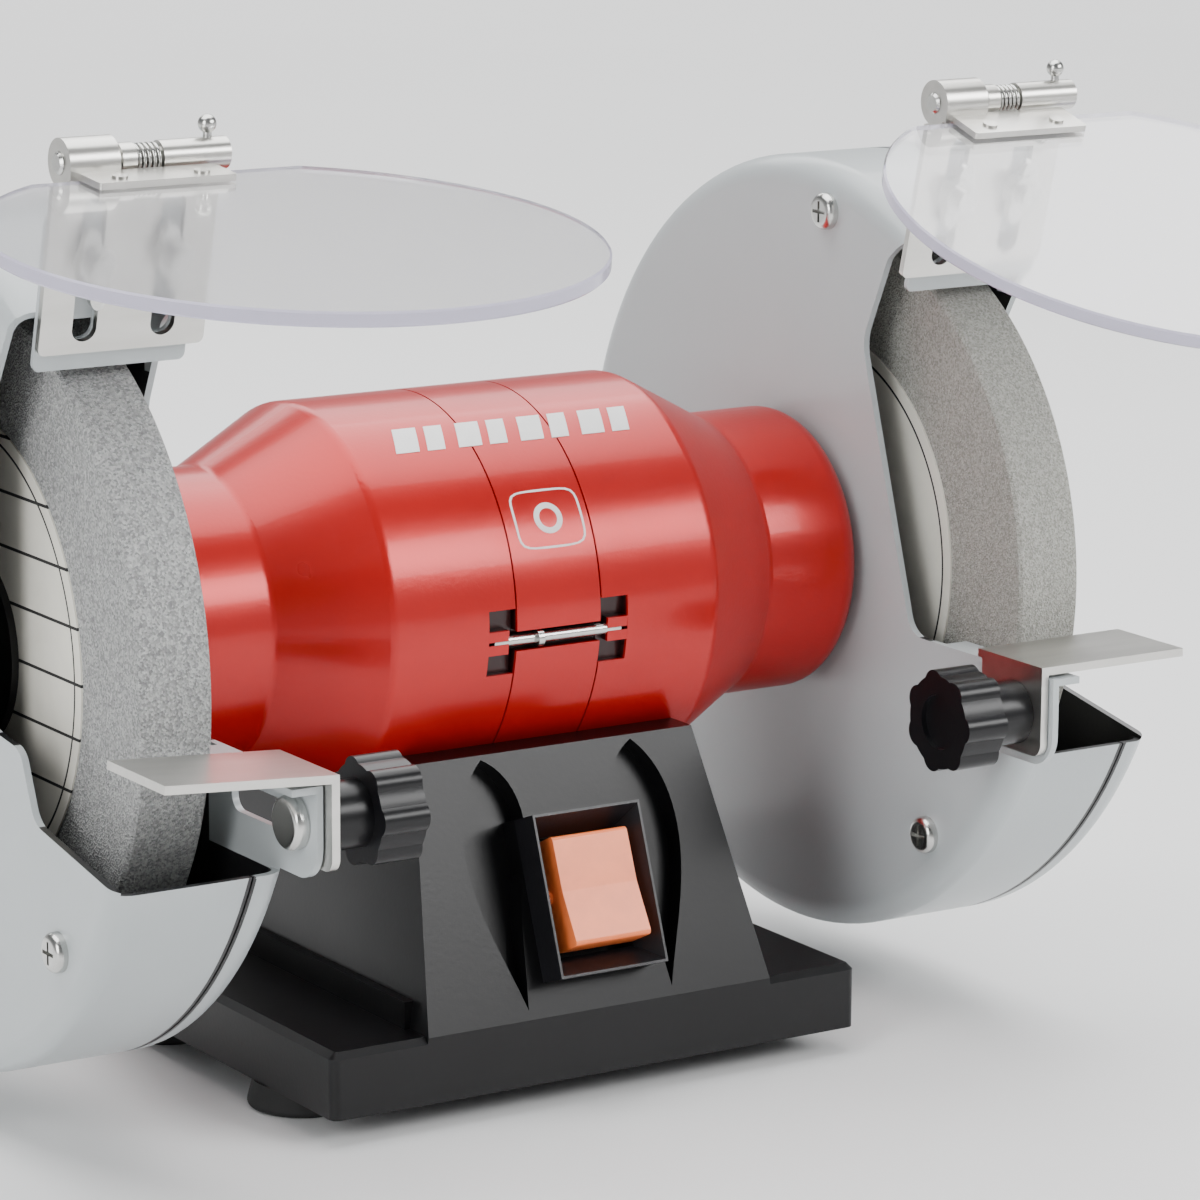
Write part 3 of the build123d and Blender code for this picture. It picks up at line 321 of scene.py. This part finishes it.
def slot_materials():
    made = {
        "motor_paint": paint_red(),
        "guard_paint": paint_guard(),
        "base_paint": basic("base_paint", (0.0035, 0.0035, 0.004), 0.30, vary=0.1, scale=50,
                            bump_h=0.000015, bump_scale=900, specular=0.32),
        "plate_steel": basic("plate_steel", (0.03, 0.03, 0.033), 0.5, bump_h=0.00003),
        "rubber": basic("rubber", (0.012, 0.012, 0.012), 0.75, bump_h=0.00008, bump_scale=500),
        "zinc_plate": basic("zinc_plate", (0.62, 0.61, 0.58), 0.30, metallic=1.0, vary=0.10, scale=120,
                            bump_h=0.00002, bump_scale=300, stretch=(0.15, 1, 1)),
        "fastener_zinc": basic("fastener_zinc", (0.60, 0.60, 0.58), 0.25, metallic=1.0, vary=0.1,
                               scale=200),
        "fastener_dark": basic("fastener_dark", (0.08, 0.08, 0.085), 0.4, metallic=1.0),
        "knob_plastic": basic("knob_plastic", (0.005, 0.005, 0.006), 0.30, bump_h=0.00002,
                              bump_scale=700, specular=0.32),
        "switch_plastic": basic("switch_plastic", (0.010, 0.010, 0.012), 0.30, bump_h=0.00003,
                                bump_scale=800),
        "switch_body_plastic": basic("switch_body_plastic", (0.02, 0.02, 0.02), 0.5),
        "rocker_lens": basic("rocker_lens", (0.95, 0.20, 0.055), 0.32, vary=0.12, scale=90, coat=0.1),
        "shield_clear": clear_plastic(),
        "wheel_grey": abrasive("wheel_grey", (0.22, 0.225, 0.225), (0.36, 0.365, 0.36),
                               (0.52, 0.53, 0.52), 2100),
        "wheel_green": abrasive("wheel_green", (0.30, 0.30, 0.265), (0.41, 0.41, 0.37),
                                (0.52, 0.52, 0.48), 2600),
        "blotter_paper": blotter(),
        "flange_black": basic("flange_black", (0.012, 0.012, 0.012), 0.35, bump_h=0.00003),
        "machined_steel": basic("machined_steel", (0.50, 0.50, 0.50), 0.28, metallic=1.0,
                                stretch=(1, 0.1, 0.1)),
        "bearing_steel": basic("bearing_steel", (0.62, 0.62, 0.62), 0.12, metallic=1.0),
        "core_steel": basic("core_steel", (0.13, 0.13, 0.135), 0.5, metallic=0.8, stretch=(20, 1, 1)),
        "copper_winding": basic("copper_winding", (0.55, 0.20, 0.07), 0.35, metallic=0.7, scale=300,
                                vary=0.3),
        "capacitor_shell": basic("capacitor_shell", (0.6, 0.6, 0.57), 0.5),
        "terminal_plastic": basic("terminal_plastic", (0.6, 0.57, 0.48), 0.5),
        "gland_plastic": basic("gland_plastic", (0.012, 0.012, 0.012), 0.45, bump_h=0.00004),
    }
    return made


MATERIALS = slot_materials()
for part in frame["record"]["subparts"]:
    mesh = nodes[part["node"]].data
    mesh.materials.clear()
    mesh.materials.append(MATERIALS[part["material_slot"]])


# ------------------------------------------------------------------ markings on the motor
def finish_piece(bm, name, material, body):
    bmesh.ops.recalc_face_normals(bm, faces=bm.faces)
    mesh = bpy.data.meshes.new(name)
    bm.to_mesh(mesh)
    bm.free()
    mesh.materials.append(material)
    piece = bpy.data.objects.new(name, mesh)
    scene.collection.objects.link(piece)
    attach(piece, body)
    return piece


def on_motor(x, degrees, lift):
    angle = math.radians(degrees)
    radius = MOTOR_R + lift
    return Vector((x, -radius * math.cos(angle), AXIS_Z + radius * math.sin(angle)))


def curved_tile(bm, corners, low, high, steps=8):
    """Thin tile that follows the motor, given by four (x, degrees) corners in order."""
    (ax, aa), (bx, ba), (cx, ca), (dx, da) = corners
    layers = []
    for lift in (low, high):
        grid = []
        for i in range(steps + 1):
            t = i / steps
            row = []
            for j in range(steps + 1):
                s = j / steps
                x = (ax * (1 - s) + bx * s) * (1 - t) + (dx * (1 - s) + cx * s) * t
                degrees = (aa * (1 - s) + ba * s) * (1 - t) + (da * (1 - s) + ca * s) * t
                row.append(bm.verts.new(on_motor(x, degrees, lift)))
            grid.append(row)
        layers.append(grid)
    for grid in layers:
        for i in range(steps):
            for j in range(steps):
                bm.faces.new((grid[i][j], grid[i][j + 1], grid[i + 1][j + 1], grid[i + 1][j]))
    below, above = layers
    for i in range(steps):
        for fixed in (0, steps):
            bm.faces.new((below[i][fixed], below[i + 1][fixed], above[i + 1][fixed], above[i][fixed]))
        for fixed in (0, steps):
            bm.faces.new((below[fixed][i], below[fixed][i + 1], above[fixed][i + 1], above[fixed][i]))


def curved_ring(bm, x0, degrees0, outline, width, low, high):
    """Thin closed line that follows the motor round the points of an outline in metres."""
    rings = []
    for lift in (low, high):
        for grow in (0.0, width):
            ring = []
            for dx, dv in outline:
                size = math.hypot(dx, dv)
                x = x0 + dx * (size + grow) / size
                arc = dv * (size + grow) / size
                ring.append(bm.verts.new(on_motor(x, degrees0 + math.degrees(arc / MOTOR_R), lift)))
            rings.append(ring)
    inner_low, outer_low, inner_high, outer_high = rings
    count = len(outline)
    walls = ((inner_low, outer_low), (outer_low, outer_high),
             (outer_high, inner_high), (inner_high, inner_low))
    for a, b in walls:
        for i in range(count):
            j = (i + 1) % count
            bm.faces.new((a[i], a[j], b[j], b[i]))


def add_markings():
    """Plain slanted bars and a framed ring, in white enamel."""
    white = basic("marking_white", (0.80, 0.80, 0.79), 0.4, vary=0.03, scale=200, bump_h=0.00001)
    bars = bmesh.new()
    for i in range(8):
        x = -0.0275 + 0.0078 * i
        wide = 0.0044 if i % 2 else 0.0058
        low_x, high_x = x - 0.0020, x + 0.0006
        corners = [(low_x, 54.5), (low_x + wide, 54.5), (high_x + wide, 64.5), (high_x, 64.5)]
        curved_tile(bars, corners, -0.0001, MARK_LIFT)
    finish_piece(bars, "motor_bars", white, "frame")
    badge = bmesh.new()
    square = []
    for i in range(48):
        angle = 2 * math.pi * i / 48
        c, s = math.cos(angle), math.sin(angle)
        size = 0.0062 / (abs(c) ** 6 + abs(s) ** 6) ** (1 / 6)
        square.append((size * c * 1.3, size * s))
    curved_ring(badge, 0.0005, 29.0, square, 0.0005, -0.0001, MARK_LIFT)
    circle = []
    for i in range(40):
        angle = 2 * math.pi * i / 40
        circle.append((0.0022 * math.cos(angle), 0.0022 * math.sin(angle)))
    curved_ring(badge, 0.0005, 29.0, circle, 0.0013, -0.0001, MARK_LIFT)
    finish_piece(badge, "motor_badge", white, "frame")


add_markings()


# ------------------------------------------------------------------ hinge springs
def add_spring(name, low_point, high_point, radius, wire, turns, body, material):
    """Wire coil between two points along X."""
    bm = bmesh.new()
    steps, sides = 16 * turns, 8
    rings = []
    for i in range(steps + 1):
        t = i / steps
        angle = 2 * math.pi * turns * t
        out = Vector((0, math.cos(angle), math.sin(angle)))
        centre = Vector(low_point).lerp(Vector(high_point), t) + out * radius
        ring = []
        for k in range(sides):
            a = 2 * math.pi * k / sides
            offset = out * math.cos(a) + Vector((1, 0, 0)) * math.sin(a)
            ring.append(bm.verts.new(centre + offset * wire))
        rings.append(ring)
    for a, b in zip(rings, rings[1:]):
        for k in range(sides):
            bm.faces.new((a[k], a[(k + 1) % sides], b[(k + 1) % sides], b[k]))
    bm.faces.new(rings[0])
    bm.faces.new(rings[-1])
    piece = finish_piece(bm, name, material, body)
    for polygon in piece.data.polygons:
        polygon.use_smooth = True
    return piece


for side in ("left", "right"):
    low_rod, high_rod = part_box("hinge_rod_" + side)
    middle_x = (low_rod[0] + high_rod[0]) / 2
    hinge_y = (low_rod[1] + high_rod[1]) / 2
    hinge_z = low_rod[2] + ROD_R
    spring_start = (middle_x - 0.0022, hinge_y, hinge_z)
    spring_end = (middle_x + 0.0033, hinge_y, hinge_z)
    add_spring("hinge_spring_" + side, spring_start, spring_end, 0.0027, 0.0004, 5,
               "bracket_" + side, MATERIALS["fastener_zinc"])


# ------------------------------------------------------------------ studio
def add_floor():
    mesh = bpy.data.meshes.new("floor")
    bm = bmesh.new()
    bmesh.ops.create_grid(bm, x_segments=8, y_segments=8, size=6.0)
    bm.to_mesh(mesh)
    bm.free()
    floor = bpy.data.objects.new("floor", mesh)
    scene.collection.objects.link(floor)
    mesh.materials.append(basic("floor_paint", (0.80, 0.80, 0.80), 0.6, vary=0.01, scale=3))


def add_light(name, location, target, size, power, colour=(1, 1, 1)):
    data = bpy.data.lights.new(name, "AREA")
    data.shape = "RECTANGLE"
    data.size, data.size_y = size
    data.energy = power
    data.color = colour
    light = bpy.data.objects.new(name, data)
    scene.collection.objects.link(light)
    light.location = location
    light.rotation_euler = (Vector(target) - Vector(location)).to_track_quat("-Z", "Y").to_euler()
    return light


def add_world():
    """White near the horizon and grey overhead."""
    world = bpy.data.worlds.new("world")
    scene.world = world
    world.use_nodes = True
    tree = world.node_tree
    tex = put(tree, "ShaderNodeTexCoord")
    split = put(tree, "ShaderNodeSeparateXYZ")
    tree.links.new(tex.outputs["Generated"], split.inputs[0])
    sky = ramp(tree, split.outputs[2], [(0.05, (1, 1, 1)), (0.35, (0.30, 0.31, 0.32))])
    tree.links.new(sky, tree.nodes["Background"].inputs["Color"])
    tree.nodes["Background"].inputs["Strength"].default_value = 0.55


add_floor()
add_world()
add_light("key", (0.86, -1.16, 0.84), (0, -0.02, 0.09), (1.1, 0.5), 21)
add_light("left", (-1.25, -0.60, 0.60), (0, 0, 0.1), (0.5, 0.8), 12)
add_light("top", (0.0, 0.3, 1.7), (0, 0, 0.0), (2.4, 1.6), 60)
add_light("backdrop", (1.6, 2.9, 2.2), (1.9, 3.2, 0), (4.5, 3.0), 170)
